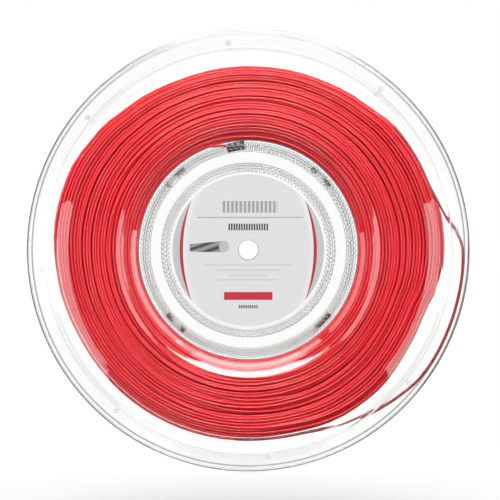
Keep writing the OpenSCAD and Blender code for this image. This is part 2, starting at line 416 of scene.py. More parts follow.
def run_out(start):
    """Spots that lead from the sprung turn's other end on round the pack."""
    angle, radius, depth = start
    proud = radius - outline(angle)
    steps = int(RUN_OUT_DEG / 360 * TURN_POINTS)
    spots = []
    for i in range(steps + 1):
        a = RUN_OUT_DEG * i / steps
        done = ease(a / RUN_OUT_DEG)
        r = outline(angle + a) + proud * (1 - ease(a / SINK_DEG)) - TUCK * done
        spots.append((angle + a, r, depth - SIDEWAYS * done))
    return spots


layer_spots[-1] += run_in(layer_spots[-1][-1], FREE_TURN[-1])
layer_points = [[place(*spot) for spot in spots] for spots in layer_spots]
end_points = [place(*spot) for spot in run_out(FREE_TURN[0])]
wound = length_of([p for points in layer_points for p in points])
print(f"String: {wound + length_of(end_points) + length_of(free_points):.1f} m in all")


# %% The pack's pieces
PACK_SIDES, LAST_SIDES = 6, 8

cuts = [0, 11, 20, layers]
for name, first, last in zip(("pack_inner", "pack_middle", "pack_outer"), cuts, cuts[1:]):
    points = [p for layer in layer_points[first:last] for p in layer]
    if last < layers:
        points.append(layer_points[last][0])
    string_mesh(name, points, PACK_SIDES, "string_pack").data.materials.append(string_red)
last_turn = string_mesh("pack_last_turn", end_points, LAST_SIDES, "string_pack")
last_turn.data.materials.append(string_red)

# %% [markdown]
# ## The string's start and its tape
#
# The first centimetre of string dives through a notch in the barrel, and a scrap of black vinyl tape holds
# it there. The tail is string as before. The tape starts as a thin block's section, which is spun a few
# degrees round the axis and turned a little askew. Its outer edge is a mottled grey.
# It is calendered vinyl film, which gives a soft sheen with fine wrinkles of about a millimetre and a half.

# %% The tail
TAIL_STEPS, TAIL_SIDES = 4, 10

tail = string_mesh("string_tail_end", smooth_line(TAIL, TAIL_STEPS), TAIL_SIDES, "string_tail")
tail.data.materials.append(string_red)

# %% Drawing a section by extruding
# Tests for a place allow a hair for rounding, and for a single vertex a little more.
HAIR, REACH = 0.01, 0.02


def start_section(name, r_low, r_high, d_low, d_high):
    """A flat rectangle in the plane that holds the axis, in edit mode, with nothing selected."""
    all_off()
    bpy.ops.mesh.primitive_plane_add(size=1, location=(0, 0, 0), rotation=(0, 0, 0))
    piece = bpy.context.object
    piece.name = piece.data.name = name
    bpy.ops.object.mode_set(mode="EDIT")
    bpy.ops.transform.resize(value=((r_high - r_low) * MM, (d_high - d_low) * MM, 1))
    bpy.ops.transform.translate(value=((r_low + r_high) / 2 * MM, -(d_low + d_high) / 2 * MM, 0))
    bpy.ops.mesh.select_all(action="DESELECT")
    return piece


def pick(piece, mode, test):
    """In edit mode, selects the vertices whose radius and depth in millimetres pass the test."""
    bpy.ops.mesh.select_mode(type="VERT")
    bpy.ops.mesh.select_all(action="DESELECT")
    bpy.ops.object.mode_set(mode="OBJECT")
    for v in piece.data.vertices:
        v.select = test(v.co.x / MM, -v.co.y / MM)
    bpy.ops.object.mode_set(mode="EDIT")
    bpy.ops.mesh.select_mode(type=mode)


def near(r, d):
    """A test for the vertex at a radius and depth."""
    return lambda x, y: abs(x - r) < REACH and abs(y - d) < REACH


def push(dr, dd):
    """Extrudes the selected edge by a radius and a depth."""
    bpy.ops.mesh.extrude_region_move(TRANSFORM_OT_translate={"value": (dr * MM, -dd * MM, 0)})


def spin_section(piece, steps, degrees=360.0, start=0.0):
    """Turns the section's outline round the reel's axis, and leaves edit mode."""
    bpy.ops.mesh.select_all(action="SELECT")
    if start:
        bpy.ops.transform.rotate(
            value=math.radians(start), orient_axis="Y", center_override=(0, 0, 0),
        )
    full = degrees == 360.0
    if full:
        bpy.ops.mesh.delete(type="ONLY_FACE")
        bpy.ops.mesh.select_all(action="SELECT")
    bpy.ops.mesh.spin(
        steps=steps, angle=math.radians(degrees), center=(0, 0, 0), axis=(0, 1, 0),
        use_auto_merge=full,
    )
    bpy.ops.mesh.select_all(action="SELECT")
    bpy.ops.mesh.remove_doubles(threshold=0.001 * MM)
    bpy.ops.mesh.normals_make_consistent(inside=False)
    bpy.ops.object.mode_set(mode="OBJECT")


def smooth_by(piece, degrees=40):
    """Smooth shading across edges under an angle, with flat faces kept flat."""
    make_active(piece)
    bpy.ops.object.shade_smooth_by_angle(angle=math.radians(degrees))
    bpy.ops.object.modifier_add(type="WEIGHTED_NORMAL")
    piece.modifiers[-1].keep_sharp = True
    bpy.ops.object.modifier_apply(modifier=piece.modifiers[-1].name)


# %% The tape's material and shape
TAPE_OVER, TAPE_W, TAPE_T = 0.5, 4.1, 0.2
TAPE_AT, TAPE_DEG, TAPE_ASKEW = 97.0, 10.0, 5.0
TAPE_PARTS = 14
GREY_EDGE_Z, GREY_EDGE_RUN = 46.5, 0.7
WRINKLE, WRINKLE_DEPTH = 1.43, 0.1

black_vinyl, tree = new_material("black_vinyl_tape_calendered")
solid = add(tree, "TexCoord")
wrinkle = add(tree, "TexNoise", {
    "Vector": solid.outputs["Object"], "Scale": 1 / (WRINKLE * MM), "Detail": 3.0,
})
across = add(tree, "SeparateXYZ", {0: solid.outputs["Object"]})
# The colour turns a mottled grey towards the tape's outer edge.
towards_edge = add(tree, "MapRange", {
    "Value": across.outputs["Z"],
    "From Min": GREY_EDGE_Z * MM, "From Max": (GREY_EDGE_Z + GREY_EDGE_RUN) * MM, "To Min": -0.4, "To Max": 0.03,
})
greyed_edge = add(tree, "Math", {0: towards_edge, 1: wrinkle}, operation="ADD")
shade = add(tree, "ValToRGB", {0: greyed_edge})
shade.color_ramp.elements[0].position = 0.45
shade.color_ramp.elements[0].color = linear("#161618")
shade.color_ramp.elements[1].position = 0.62
shade.color_ramp.elements[1].color = linear("#8c8c8f")
wrinkled = add(tree, "Bump", {"Strength": 0.4, "Distance": WRINKLE_DEPTH * MM, "Height": wrinkle})
surface = add(tree, "BsdfPrincipled", {
    "Base Color": shade, "Roughness": 0.42, "IOR": 1.53, "Normal": wrinkled,
})
add(tree, "OutputMaterial", {0: surface})

tape_out_r = BARREL_R + TAPE_OVER
tape = start_section("start_tape_scrap", tape_out_r - TAPE_W, tape_out_r, HUB_Z - TAPE_T, HUB_Z)
spin_section(tape, TAPE_PARTS, TAPE_DEG, TAPE_AT - TAPE_DEG / 2)
make_active(tape)
bpy.ops.object.mode_set(mode="EDIT")
bpy.ops.mesh.select_all(action="SELECT")
bpy.ops.transform.rotate(
    value=math.radians(TAPE_ASKEW), orient_axis="Y",
    center_override=place(TAPE_AT, tape_out_r - TAPE_W / 2, HUB_Z),
)
bpy.ops.object.mode_set(mode="OBJECT")
smooth_by(tape)
tape.data.materials.append(black_vinyl)
finish_piece(tape, "tape", "start_tape")

# %% [markdown]
# ## Clear polystyrene
#
# The halves are injection moulded in general-purpose polystyrene, which is as clear as glass and bends light
# a little more, with an index of 1.59. Its gloss comes from the polished mould. A glass material alone
# would throw a dark shadow on the string, because a lamp's light isn't traced through it, so shadow rays
# pass through a faintly grey transparent shader instead, and so do the diffuse rays that look for light. A
# very gentle bump stands for the flow marks of the moulding, some eight millimetres apart.
#
# The strip is rolled polyester film, a quarter of a millimetre thick. Light goes straight through so thin a
# sheet, so it is a transparent shader with a little gloss laid over it, and more of it at a slant.

# %% Clear plastics
FLOW_MARK, FLOW_DEPTH = 8.0, 0.02
POLYSTYRENE_IOR = 1.59
LIGHT_LEFT = "#fdfdfd"


def clear_plastic(name, tint):
    """Clear polystyrene of a faint tint, with nearly all of a lamp's light left behind it."""
    material, tree = new_material(name)
    solid = add(tree, "TexCoord")
    flow = add(tree, "TexNoise", {
        "Vector": solid.outputs["Object"], "Scale": 1 / (FLOW_MARK * MM), "Detail": 1.0,
    })
    bump = add(tree, "Bump", {"Strength": 1.0, "Distance": FLOW_DEPTH * MM, "Height": flow})
    body = add(tree, "BsdfPrincipled", {
        "Base Color": linear(tint), "Roughness": 0.0, "IOR": POLYSTYRENE_IOR,
        "Transmission Weight": 1.0, "Normal": bump,
    })
    lamp_light = add(tree, "BsdfTransparent", {"Color": linear(LIGHT_LEFT)})
    paths = add(tree, "LightPath")
    seeks_light = add(tree, "Math", {
        0: paths.outputs["Is Shadow Ray"], 1: paths.outputs["Is Diffuse Ray"],
    }, operation="MAXIMUM")
    both = add(tree, "MixShader", {0: seeks_light, 1: body, 2: lamp_light})
    add(tree, "OutputMaterial", {0: both})
    return material


clear_front = clear_plastic("polystyrene_clear_moulded_front", "#ffffff")
clear_rear = clear_plastic("polystyrene_clear_moulded_rear", "#fefffe")

# %% The strip's film
FILM_WAVE, FILM_DEPTH = 20.0, 0.05
GLOSS_FACING, GLOSS_SLANT = 0.04, 0.12

clear_film, tree = new_material("polyester_film_clear_rolled")
solid = add(tree, "TexCoord")
rolled = add(tree, "TexNoise", {"Vector": solid.outputs["Object"], "Scale": 1 / (FILM_WAVE * MM)})
bump = add(tree, "Bump", {"Strength": 1.0, "Distance": FILM_DEPTH * MM, "Height": rolled})
slant = add(tree, "Fresnel", {"IOR": 1.57, "Normal": bump})
gloss_share = add(tree, "Math", {
    0: slant, 1: GLOSS_SLANT, 2: GLOSS_FACING,
}, operation="MULTIPLY_ADD")
clear = add(tree, "BsdfTransparent", {"Color": linear("#fbfcfc")})
gloss = add(tree, "BsdfAnisotropic", {"Color": linear("#ffffff"), "Roughness": 0.05, "Normal": bump})
film = add(tree, "MixShader", {0: gloss_share, 1: clear, 2: gloss})
add(tree, "OutputMaterial", {0: film})

# %% [markdown]
# ## The two halves
#
# Each half is a turned shape: a flat channel at the rim, an eased step down to a shelf, a ramp, the web, a
# dish down to the hub, and on the front half the barrel and the spindle tube. Its section is drawn by
# extruding a short edge outward from one station to the next, which keeps one wall thickness throughout.
# A clear wall of uneven thickness is a lens, so only two places differ. A fine groove just outside the step
# draws a thin line there, and the crowned rim, a little thinner at its very edge, draws a soft grey one.
# The section is made one face, so that its corners can be rounded as the mould rounds them, and its outline
# is spun round the axis in fine steps, because a coarse turning shows at once in clear plastic. Windows,
# notch and the gaps between snap fingers are blocks spun through their angle and cut away. Shapes that rest
# on a half are kept off it by one or two hundredths of a millimetre, because faces in one place would fleck.

# %% Sizes of the halves
WALL = 1.5
BORE_R, TUBE_WALL = 4.5, 1.6
BARREL_WALL = 1.8
SHELF_Z, CHANNEL_Z = 13.0, 14.6
SHELF_IN_R = 87.5
STEP_LOW, STEP_HIGH = 88.0, 91.9
GROOVE_R, GROOVE_HALF = 92.3, 0.35
FRONT_GROOVE, REAR_GROOVE = 0.15, 0.08
END_GAP, JOINT_GAP = 0.1, 0.1
SLEEVE_WALL, SLEEVE_TOP, FINGER_TOP = 1.6, -0.5, 3.5
BARB_Z, BARB_EDGE, BARB_BITE = 1.1, 0.4, 1.2
COLLAR_TOP = -2.5
FINGERS, FINGER_DEG, WINDOW_GAP = 4, 14.0, 0.2
NOTCH_DEG, NOTCH_H = 13.45, 3.0
TUBE_R = BORE_R + TUBE_WALL
BARREL_IN_R = BARREL_R - BARREL_WALL
SLEEVE_R = BARREL_IN_R - JOINT_GAP
STEPS, COLLAR_STEPS = 240, 96
BOWL_PARTS, RAMP_PARTS, STEP_PARTS = 16, 4, 12
RAMP_EASE, CREASE = 0.8, 0.2
CROWN, CROWN_LOSS, CROWN_PARTS = 1.2, 0.3, 6
SOFT_EDGE, SOFT_BORE = 0.08, 0.2
SEAM = 0.02
BLOCK_PARTS, PAST = 8, 1
MOULDED_DEG = 32


# %% The flange's section
def ramp(r0, d0, r1, d1):
    """Points of a straight ramp that eases in and out over a short run."""
    slope = (d1 - d0) / (r1 - r0 - RAMP_EASE)
    shares = [i / RAMP_PARTS for i in range(RAMP_PARTS + 1)]
    into = [(RAMP_EASE * share, slope * RAMP_EASE / 2 * share ** 2) for share in shares]
    return [(r0 + r, d0 + d) for r, d in into] + [(r1 - r, d1 - d) for r, d in reversed(into)]


def thin(piece, r, share):
    """In edit mode, leaves a share of the wall at a station of the section."""
    pick(piece, "VERT", lambda x, d: abs(x - r) < REACH)
    depths = [v.co.y for v in piece.data.vertices if v.select]
    middle = (r * MM, sum(depths) / len(depths), 0)
    bpy.ops.transform.resize(value=(1, share, 1), center_override=middle)


def flange_section(name, groove):
    """The section of a flange plate from bore to rim, front face outward, in edit mode."""
    stations = [(r, HUB_Z) for r in (TUBE_R, BARREL_IN_R, BARREL_R)]
    for i in range(BOWL_PARTS + 1):
        r = HUB_R + FACET * (DISH_R - HUB_R) * i / BOWL_PARTS
        stations.append((r, bowl(r)))
    stations += [(r, bowl(r)) for r in (DISH_R - CREASE, DISH_R + CREASE)]
    stations += ramp(WEB_R, WEB_Z, SHELF_IN_R, SHELF_Z)
    for share in [i / STEP_PARTS for i in range(STEP_PARTS + 1)]:
        r = STEP_LOW + (STEP_HIGH - STEP_LOW) * share
        stations.append((r, SHELF_Z + (CHANNEL_Z - SHELF_Z) * ease(share)))
    stations += [(GROOVE_R + GROOVE_HALF * share, CHANNEL_Z) for share in (-1, -0.5, 0, 0.5, 1)]
    crown = [i / CROWN_PARTS for i in range(CROWN_PARTS + 1)]
    stations += [(RIM_R - CROWN * (1 - share), CHANNEL_Z) for share in crown]
    piece = start_section(name, BORE_R, TUBE_R, HUB_Z, HUB_Z + WALL)
    pick(piece, "EDGE", lambda r, d: r > TUBE_R - HAIR)
    for (r0, d0), (r1, d1) in zip(stations, stations[1:]):
        push(r1 - r0, d1 - d0)
    for share in (-0.5, 0, 0.5):
        thin(piece, GROOVE_R + GROOVE_HALF * share, 1 - groove / WALL * (1 - abs(share)))
    for share in crown[1:]:
        thin(piece, RIM_R - CROWN * (1 - share), 1 - 2 * CROWN_LOSS / WALL * share ** 2)
    return piece


def extrude_leg(piece, r_low, r_high, depth):
    """Extrudes the inner face between two radii back to a depth."""
    pick(piece, "EDGE", lambda r, d: r_low - HAIR < r < r_high + HAIR and abs(d - HUB_Z) < HAIR)
    push(0, depth - HUB_Z)


def round_corners(piece, corners):
    """Makes the section one face and rounds its corners, each given as radius, depth and size."""
    bpy.ops.mesh.select_mode(type="FACE")
    bpy.ops.mesh.select_all(action="SELECT")
    bpy.ops.mesh.dissolve_faces()
    for r, d, size in corners:
        pick(piece, "VERT", near(r, d))
        bpy.ops.mesh.bevel(affect="VERTICES", offset=size * MM, segments=6)


def plate_corners():
    """The corners that both halves have."""
    return [
        (RIM_R, CHANNEL_Z + CROWN_LOSS, SOFT_EDGE), (RIM_R, CHANNEL_Z + WALL - CROWN_LOSS, SOFT_EDGE),
        (BORE_R, HUB_Z + WALL, SOFT_BORE),
    ]


def cut_blocks(piece, blocks):
    """Cuts spun blocks out of a piece. Each is two radii, two depths, its middle angle and its width."""
    for r_low, r_high, d_low, d_high, at, degrees in blocks:
        block = start_section("block", r_low, r_high, d_low, d_high)
        spin_section(block, BLOCK_PARTS, degrees, at - degrees / 2)
        make_active(piece)
        bpy.ops.object.modifier_add(type="BOOLEAN")
        cut = piece.modifiers[-1]
        cut.operation, cut.solver, cut.object = "DIFFERENCE", "EXACT", block
        bpy.ops.object.modifier_apply(modifier=cut.name)
        bpy.data.objects.remove(block)


# %% The front half
front = flange_section("front_half", FRONT_GROOVE)
extrude_leg(front, BARREL_IN_R, BARREL_R, END_GAP - HUB_Z)
extrude_leg(front, BORE_R, TUBE_R, END_GAP - HUB_Z)
round_corners(front, plate_corners())
spin_section(front, STEPS)
window_deg = FINGER_DEG + math.degrees(2 * WINDOW_GAP / BARREL_R)
windows = [
    (BARREL_IN_R - PAST, BARREL_R + PAST, BARB_Z - WINDOW_GAP, FINGER_TOP + WINDOW_GAP,
     (i + 0.5) * 360 / FINGERS, window_deg)
    for i in range(FINGERS)
]
cut_blocks(front, windows + [
    (BARREL_IN_R - PAST, BARREL_R + PAST, HUB_Z - NOTCH_H, HUB_Z - HAIR, TAPE_AT, NOTCH_DEG)
])
smooth_by(front, MOULDED_DEG)
front.data.materials.append(clear_front)
finish_piece(front, "clear_front", "front_flange")

# %% The rear half
rear = flange_section("rear_half", REAR_GROOVE)
round_corners(rear, plate_corners())
bpy.ops.mesh.select_all(action="SELECT")
bpy.ops.transform.resize(value=(1, -1, 1), center_override=(0, 0, 0))
spin_section(rear, STEPS)
smooth_by(rear, MOULDED_DEG)
rear.data.materials.append(clear_rear)
finish_piece(rear, "clear_rear", "rear_flange")

# %% The rear half's sleeve, snap fingers and collar
barb_top = BARB_Z + BARB_EDGE
sleeve = start_section("snap_sleeve", SLEEVE_R - SLEEVE_WALL, SLEEVE_R, SEAM - HUB_Z, BARB_Z)
pick(sleeve, "EDGE", lambda r, d: d > BARB_Z - HAIR)
push(0, BARB_EDGE)
push(0, FINGER_TOP - barb_top)
pick(sleeve, "EDGE", lambda r, d: r > SLEEVE_R - HAIR and BARB_Z - HAIR < d < barb_top + HAIR)
push(BARB_BITE, 0)
spin_section(sleeve, STEPS)
pitch = 360 / FINGERS
cut_blocks(sleeve, [
    (SLEEVE_R - SLEEVE_WALL - PAST, SLEEVE_R + BARB_BITE + PAST, SLEEVE_TOP, FINGER_TOP + PAST,
     i * pitch, pitch - FINGER_DEG)
    for i in range(FINGERS)
])
smooth_by(sleeve, MOULDED_DEG)
sleeve.data.materials.append(clear_rear)
finish_piece(sleeve, "clear_rear", "rear_flange")

collar_r = TUBE_R + JOINT_GAP
collar = start_section("spindle_collar", collar_r, collar_r + TUBE_WALL, SEAM - HUB_Z, COLLAR_TOP)
spin_section(collar, COLLAR_STEPS)
smooth_by(collar, MOULDED_DEG)
collar.data.materials.append(clear_rear)
finish_piece(collar, "clear_rear", "rear_flange")

# %% [markdown]
# ## Pearled rings and pin marks
#
# Two rings on the front hub are pearled: three rows of small flat-topped studs, set like a honeycomb, which
# sparkle and half hide the snap joint. One stud is a low hexagonal cone without its tip. It is modelled once
# and copied round the axis. The same two rings on the back are plain, so that the studs show against a clear
# ground. The ejector pins of the mould leave eight faint round marks inside each channel.

# %% One stud, and a row of them
RING_H, RING_SOFT = 0.6, 0.3
STUD_SIDES = 6
STUD_R, STUD_TOP_R, STUD_PITCH, STUD_H = 0.9, 0.62, 2.07, 0.13
SEAT_GAP = 0.01


def stud_row(name, radius, face, height, low_r, top_r, sides, count, start):
    """A row of low studs on a face, copied round the axis. A negative height points them to the back."""
    all_off()
    bpy.ops.mesh.primitive_cone_add(
        vertices=sides, radius1=low_r * MM, radius2=top_r * MM, depth=abs(height) * MM,
        location=(0, 0, 0), rotation=(math.copysign(math.pi / 2, height), 0, 0),
    )
    row = bpy.context.object
    row.name = row.data.name = name
    bpy.ops.object.transform_apply(location=False, rotation=True, scale=False)
    bpy.ops.object.mode_set(mode="EDIT")
    bpy.ops.mesh.select_all(action="SELECT")
    bpy.ops.transform.translate(value=(radius * MM, -(face + height / 2) * MM, 0))
    bpy.ops.transform.rotate(value=math.radians(start), orient_axis="Y", center_override=(0, 0, 0))
    bpy.ops.mesh.spin(
        steps=count - 1, angle=2 * math.pi * (count - 1) / count, center=(0, 0, 0),
        axis=(0, 1, 0), dupli=True,
    )
    bpy.ops.object.mode_set(mode="OBJECT")
    return row


def join(name, parts):
    """Joins parts to one piece."""
    make_active(parts[0])
    for part in parts[1:]:
        part.select_set(True)
    bpy.ops.object.join()
    bpy.context.object.name = bpy.context.object.data.name = name
    return bpy.context.object


# %% The pearled rings of the front half
RINGS = [(45.9, 47.1, 48.3), (36.6, 37.8, 39.0)]
FACE = HUB_Z + WALL

rows = []
for ring in RINGS:
    count = round(2 * math.pi * ring[1] / STUD_PITCH)
    for i, radius in enumerate(ring):
        rows.append(stud_row(
            "pearls", radius, FACE + SEAT_GAP, STUD_H, STUD_R, STUD_TOP_R, STUD_SIDES, count,
            180 / count * (i % 2),
        ))
pearls = join("front_pearls", rows)
pearls.data.materials.append(clear_front)
finish_piece(pearls, "clear_front", "front_flange")

# %% The plain rings of the rear half
rings = []
for inner, _, outer in RINGS:
    low, high = inner - STUD_R, outer + STUD_R
    ring = start_section("ring", low, high, -FACE - RING_H, -FACE - SEAT_GAP)
    for r in (low, high):
        pick(ring, "VERT", near(r, -FACE - RING_H))
        bpy.ops.mesh.bevel(affect="VERTICES", offset=RING_SOFT * MM, segments=4)
    spin_section(ring, STEPS)
    rings.append(ring)
plain_rings = join("rear_rings", rings)
smooth_by(plain_rings)
plain_rings.data.materials.append(clear_rear)
finish_piece(plain_rings, "clear_rear", "rear_flange")

# %% The pin marks of both halves
PIN_R, PIN_LOW_R, PIN_TOP_R, PIN_H = 94.4, 1.1, 0.7, 0.12
PINS, PIN_AT, PIN_SIDES = 8, 5.5, 24

for name, side, material, slot, node in (
    ("front_pin_marks", 1, clear_front, "clear_front", "front_flange"),
    ("rear_pin_marks", -1, clear_rear, "clear_rear", "rear_flange"),
):
    face = side * (CHANNEL_Z - SEAT_GAP)
    pins = stud_row(
        name, PIN_R, face, -side * PIN_H, PIN_LOW_R, PIN_TOP_R, PIN_SIDES, PINS, PIN_AT,
    )
    pins.data.materials.append(material)
    finish_piece(pins, slot, node)

# %% [markdown]
# ## The clear strip
#
# A strip of clear film runs in grooves just inside both rims and keeps the springy turns in. It is one
# closed ring with its loose end lapped inside. The section is a thin rectangle, spun once round for the
# ring, and once through a few degrees for the end.

# %% The strip
STRIP_R, FILM_T, STRIP_Z = 99.2, 0.25, 15.05
LAP_AT, LAP_DEG, LAP_PARTS = 118.0, 16.0, 16

lap_r = STRIP_R - FILM_T
strip_ring = start_section("strip_ring", lap_r, STRIP_R, -STRIP_Z, STRIP_Z)
spin_section(strip_ring, STEPS)
strip_end = start_section("strip_end", lap_r - FILM_T, lap_r - SEAM, -STRIP_Z, STRIP_Z)
spin_section(strip_end, LAP_PARTS, LAP_DEG, LAP_AT - LAP_DEG / 2)
strip = join("clear_strip", [strip_ring, strip_end])
smooth_by(strip)
strip.data.materials.append(clear_film)
finish_piece(strip, "film", "retaining_strip", body="strip")

# %% [markdown]
# ## The paper labels
#
# A label is a thin disc of coated paper with a hole, and a plain printed layout: a white border, a soft grey
# ground, two thin red crescents with darker segments outside them, and a rule. Rows of short bars stand in
# place of words, and a plain sketch of a string's end in place of a picture. All of it follows millimetres
# on the label itself. Each ink is a colour and a share from 0 to 1, and they are laid one over another. The
# coating gives a soft sheen, and the paper's fibre a faint grain, drawn at 0.4 mm.

# %% Places on the label
LABEL_R, LABEL_T = 35.5, 0.2
CRESCENT_R, CRESCENT_APEX, CRESCENT_HALF, CRESCENT_W = 58.8, 30.4, 23.4, 0.75
BAR_SHARE = 0.62


def distance(tree, along, up):
    """The length of a line that goes so far along and so far up."""
    squared = add(tree, "Math", {0: up, 1: up}, operation="MULTIPLY")
    both = add(tree, "Math", {0: along, 1: along, 2: squared}, operation="MULTIPLY_ADD")
    return add(tree, "Math", {0: both}, operation="SQRT")


def inside(tree, value, low, high):
    """One where a value lies between two others, else zero."""
    return add(tree, "Math", {
        0: value, 1: (low + high) / 2, 2: (high - low) / 2,
    }, operation="COMPARE")


def bars(tree, x, z, box, pitch):
    """One on a printed block, or with a pitch on a row of upright bars, in a box of x and z."""
    left, right, low, high = box
    share = add(tree, "Math", {
        0: inside(tree, x, left, right), 1: inside(tree, z, low, high),
    }, operation="MULTIPLY")
    if not pitch:
        return share
    from_left = add(tree, "Math", {0: x, 1: left}, operation="SUBTRACT")
    counted = add(tree, "Math", {0: from_left, 1: pitch}, operation="DIVIDE")
    part = add(tree, "Math", {0: counted}, operation="FRACT")
    on_bar = add(tree, "Math", {0: part, 1: BAR_SHARE}, operation="LESS_THAN")
    return add(tree, "Math", {0: share, 1: on_bar}, operation="MULTIPLY")


# %% The label's ground, crescents and segments
label_paper, tree = new_material("coated_paper_printed")
spot = add(tree, "TexCoord")
across = add(tree, "SeparateXYZ", {0: spot.outputs["Object"]})
x = add(tree, "Math", {0: across.outputs["X"], 1: MM}, operation="DIVIDE")
z = add(tree, "Math", {0: across.outputs["Z"], 1: MM}, operation="DIVIDE")
either_side = add(tree, "Math", {0: x}, operation="ABSOLUTE")
from_centre = add(tree, "Math", {0: either_side, 1: CRESCENT_R - CRESCENT_APEX}, operation="ADD")
out = add(tree, "Math", {0: distance(tree, from_centre, z), 1: CRESCENT_R}, operation="SUBTRACT")
off_arc = add(tree, "Math", {0: out}, operation="ABSOLUTE")
along_arc = add(tree, "Math", {0: z, 1: CRESCENT_HALF}, operation="DIVIDE")
squared = add(tree, "Math", {0: along_arc, 1: along_arc}, operation="MULTIPLY")
half_width = add(tree, "Math", {
    0: squared, 1: -CRESCENT_W, 2: CRESCENT_W,
}, operation="MULTIPLY_ADD")
ground = add(tree, "MapRange", {"Value": z, "From Min": -34.0, "From Max": 34.0})
grey = add(tree, "ValToRGB", {0: ground})
grey.color_ramp.elements[0].color = linear("#dfdfe0")
grey.color_ramp.elements[1].color = linear("#d8d8d8")
inks = [
    (linear("#e6e6e7"), add(tree, "MapRange", {"Value": out, "From Min": -3.2, "From Max": -0.8})),
    (linear("#c0c1c3"), add(tree, "Math", {0: out, 1: 0.0}, operation="GREATER_THAN")),
    (linear("#b3222e"), add(tree, "Math", {0: off_arc, 1: half_width}, operation="LESS_THAN")),
]

# %% Rows of bars and the rule
for colour, box, pitch in (
    ("#9c9c9e", (-11.6, 13.3, 17.0, 22.3), 1.9),
    ("#a8a8aa", (-23.2, 24.9, 14.6, 15.1), 0.0),
    ("#303032", (-9.0, 9.4, 9.0, 12.0), 1.15),
    ("#c2c2c4", (-20.0, 19.5, -7.1, -6.4), 1.0),
    ("#c2c2c4", (-15.0, 15.0, -9.4, -8.7), 1.0),
    ("#c2c2c4", (-8.5, 8.5, -11.8, -11.1), 1.0),
    ("#c2c2c4", (-13.5, 13.5, -13.8, -13.1), 1.0),
    ("#c4202c", (-11.0, 11.0, -22.6, -19.0), 0.0),
    ("#38383a", (-4.3, 4.3, -26.4, -24.9), 1.0),
):
    inks.append((linear(colour), bars(tree, x, z, box, pitch)))

# %% The sketch of a string's end
SKETCH_X, SKETCH_Z, SKETCH_LONG, SKETCH_RISE = -26.5, 1.6, 15.5, 0.6
SKETCH_THIN, SKETCH_GROWS = 1.7, 0.9
LAY_ROUND, LAY_ALONG = 4.0, -9.0
END_HALF, END_R = 2.3, 2.7

from_start = add(tree, "Math", {0: x, 1: SKETCH_X}, operation="SUBTRACT")
run = add(tree, "Math", {0: from_start, 1: SKETCH_LONG}, operation="DIVIDE")
thick = add(tree, "Math", {0: run, 1: SKETCH_GROWS, 2: SKETCH_THIN}, operation="MULTIPLY_ADD")
middle = add(tree, "Math", {
    0: run, 1: SKETCH_RISE, 2: SKETCH_Z - SKETCH_RISE,
}, operation="MULTIPLY_ADD")
rise = add(tree, "Math", {0: z, 1: middle}, operation="SUBTRACT")
level = add(tree, "Math", {0: rise, 1: thick}, operation="DIVIDE")
strand = add(tree, "Math", {
    0: inside(tree, run, 0.0, 1.0), 1: inside(tree, level, -1.0, 1.0),
}, operation="MULTIPLY")
along_lay = add(tree, "Math", {0: run, 1: LAY_ALONG}, operation="MULTIPLY")
lay = add(tree, "Math", {0: level, 1: LAY_ROUND, 2: along_lay}, operation="MULTIPLY_ADD")
ribs = add(tree, "Math", {0: lay}, operation="SINE")
rib_share = add(tree, "Math", {0: ribs, 1: 0.5, 2: 0.5}, operation="MULTIPLY_ADD")
twisted = add(tree, "Mix", {
    "Factor": rib_share, 6: linear("#303032"), 7: linear("#9a9a9c"),
}, data_type="RGBA")
from_end = add(tree, "Math", {0: x, 1: SKETCH_X + SKETCH_LONG}, operation="SUBTRACT")
end_x = add(tree, "Math", {0: from_end, 1: END_HALF}, operation="DIVIDE")
from_level = add(tree, "Math", {0: z, 1: SKETCH_Z}, operation="SUBTRACT")
end_z = add(tree, "Math", {0: from_level, 1: END_R}, operation="DIVIDE")
on_end = add(tree, "Math", {0: distance(tree, end_x, end_z), 1: 1.0}, operation="LESS_THAN")
inks += [(twisted.outputs[2], strand), (linear("#bcbcbe"), on_end)]

# %% The label's border and its paper
BORDER = 1.1
FIBRE, FIBRE_DEPTH = 0.4, 0.02

in_border = add(tree, "Math", {
    0: distance(tree, x, z), 1: LABEL_R - BORDER,
}, operation="GREATER_THAN")
inks.append((linear("#f2f2f2"), in_border))
printed = grey
for colour, share in inks:
    laid = add(tree, "Mix", {"Factor": share, 6: printed, 7: colour}, data_type="RGBA")
    printed = laid.outputs[2]
fibre = add(tree, "TexNoise", {
    "Vector": spot.outputs["Object"], "Scale": 1 / (FIBRE * MM), "Detail": 2.0,
})
texture = add(tree, "Bump", {"Strength": 0.15, "Distance": FIBRE_DEPTH * MM, "Height": fibre})
surface = add(tree, "BsdfPrincipled", {
    "Base Color": printed, "Roughness": 0.38, "IOR": 1.5, "Normal": texture,
})
add(tree, "OutputMaterial", {0: surface})
print("Label:", len(inks), "inks, one over another")

# %% The labels' shape
LABEL_HOLE_R, LABEL_STEPS = BORE_R + 0.15, 160

for name, side, node in (
    ("front_paper_label", 1, "front_label"), ("rear_paper_label", -1, "rear_label"),
):
    label = start_section(
        name, LABEL_HOLE_R, LABEL_R, side * (FACE + SEAT_GAP), side * (FACE + LABEL_T),
    )
    spin_section(label, LABEL_STEPS)
    smooth_by(label)
    label.data.materials.append(label_paper)
    finish_piece(label, "label_paper", node)

# %% [markdown]
# ## Stage, lamps and surroundings
#
# The reel hangs over a pale floor. A softbox just above the camera gives most of the light, and the bowl of
# the dish mirrors it as a white arc at the bottom. A weaker one overhead fills the inner part of that arc,
# and one on each side of the camera lays a pale veil on the ramps and the sides of the dish. The first two
# have a white card beside them that shows in gloss only, so the arc is bright at a plain level of light.
#
# The camera sees plain white. Behind the clear plastic it is white too, and darker out to the sides, which
# draws the rims and the step as thin grey lines. Gloss sees little besides the softboxes and the cards, of
# which two more stand far out at the sides. A last softbox lights the back. No ray finds it through clear
# plastic or in its gloss, so it lights what is matt and leaves the white behind the reel alone.

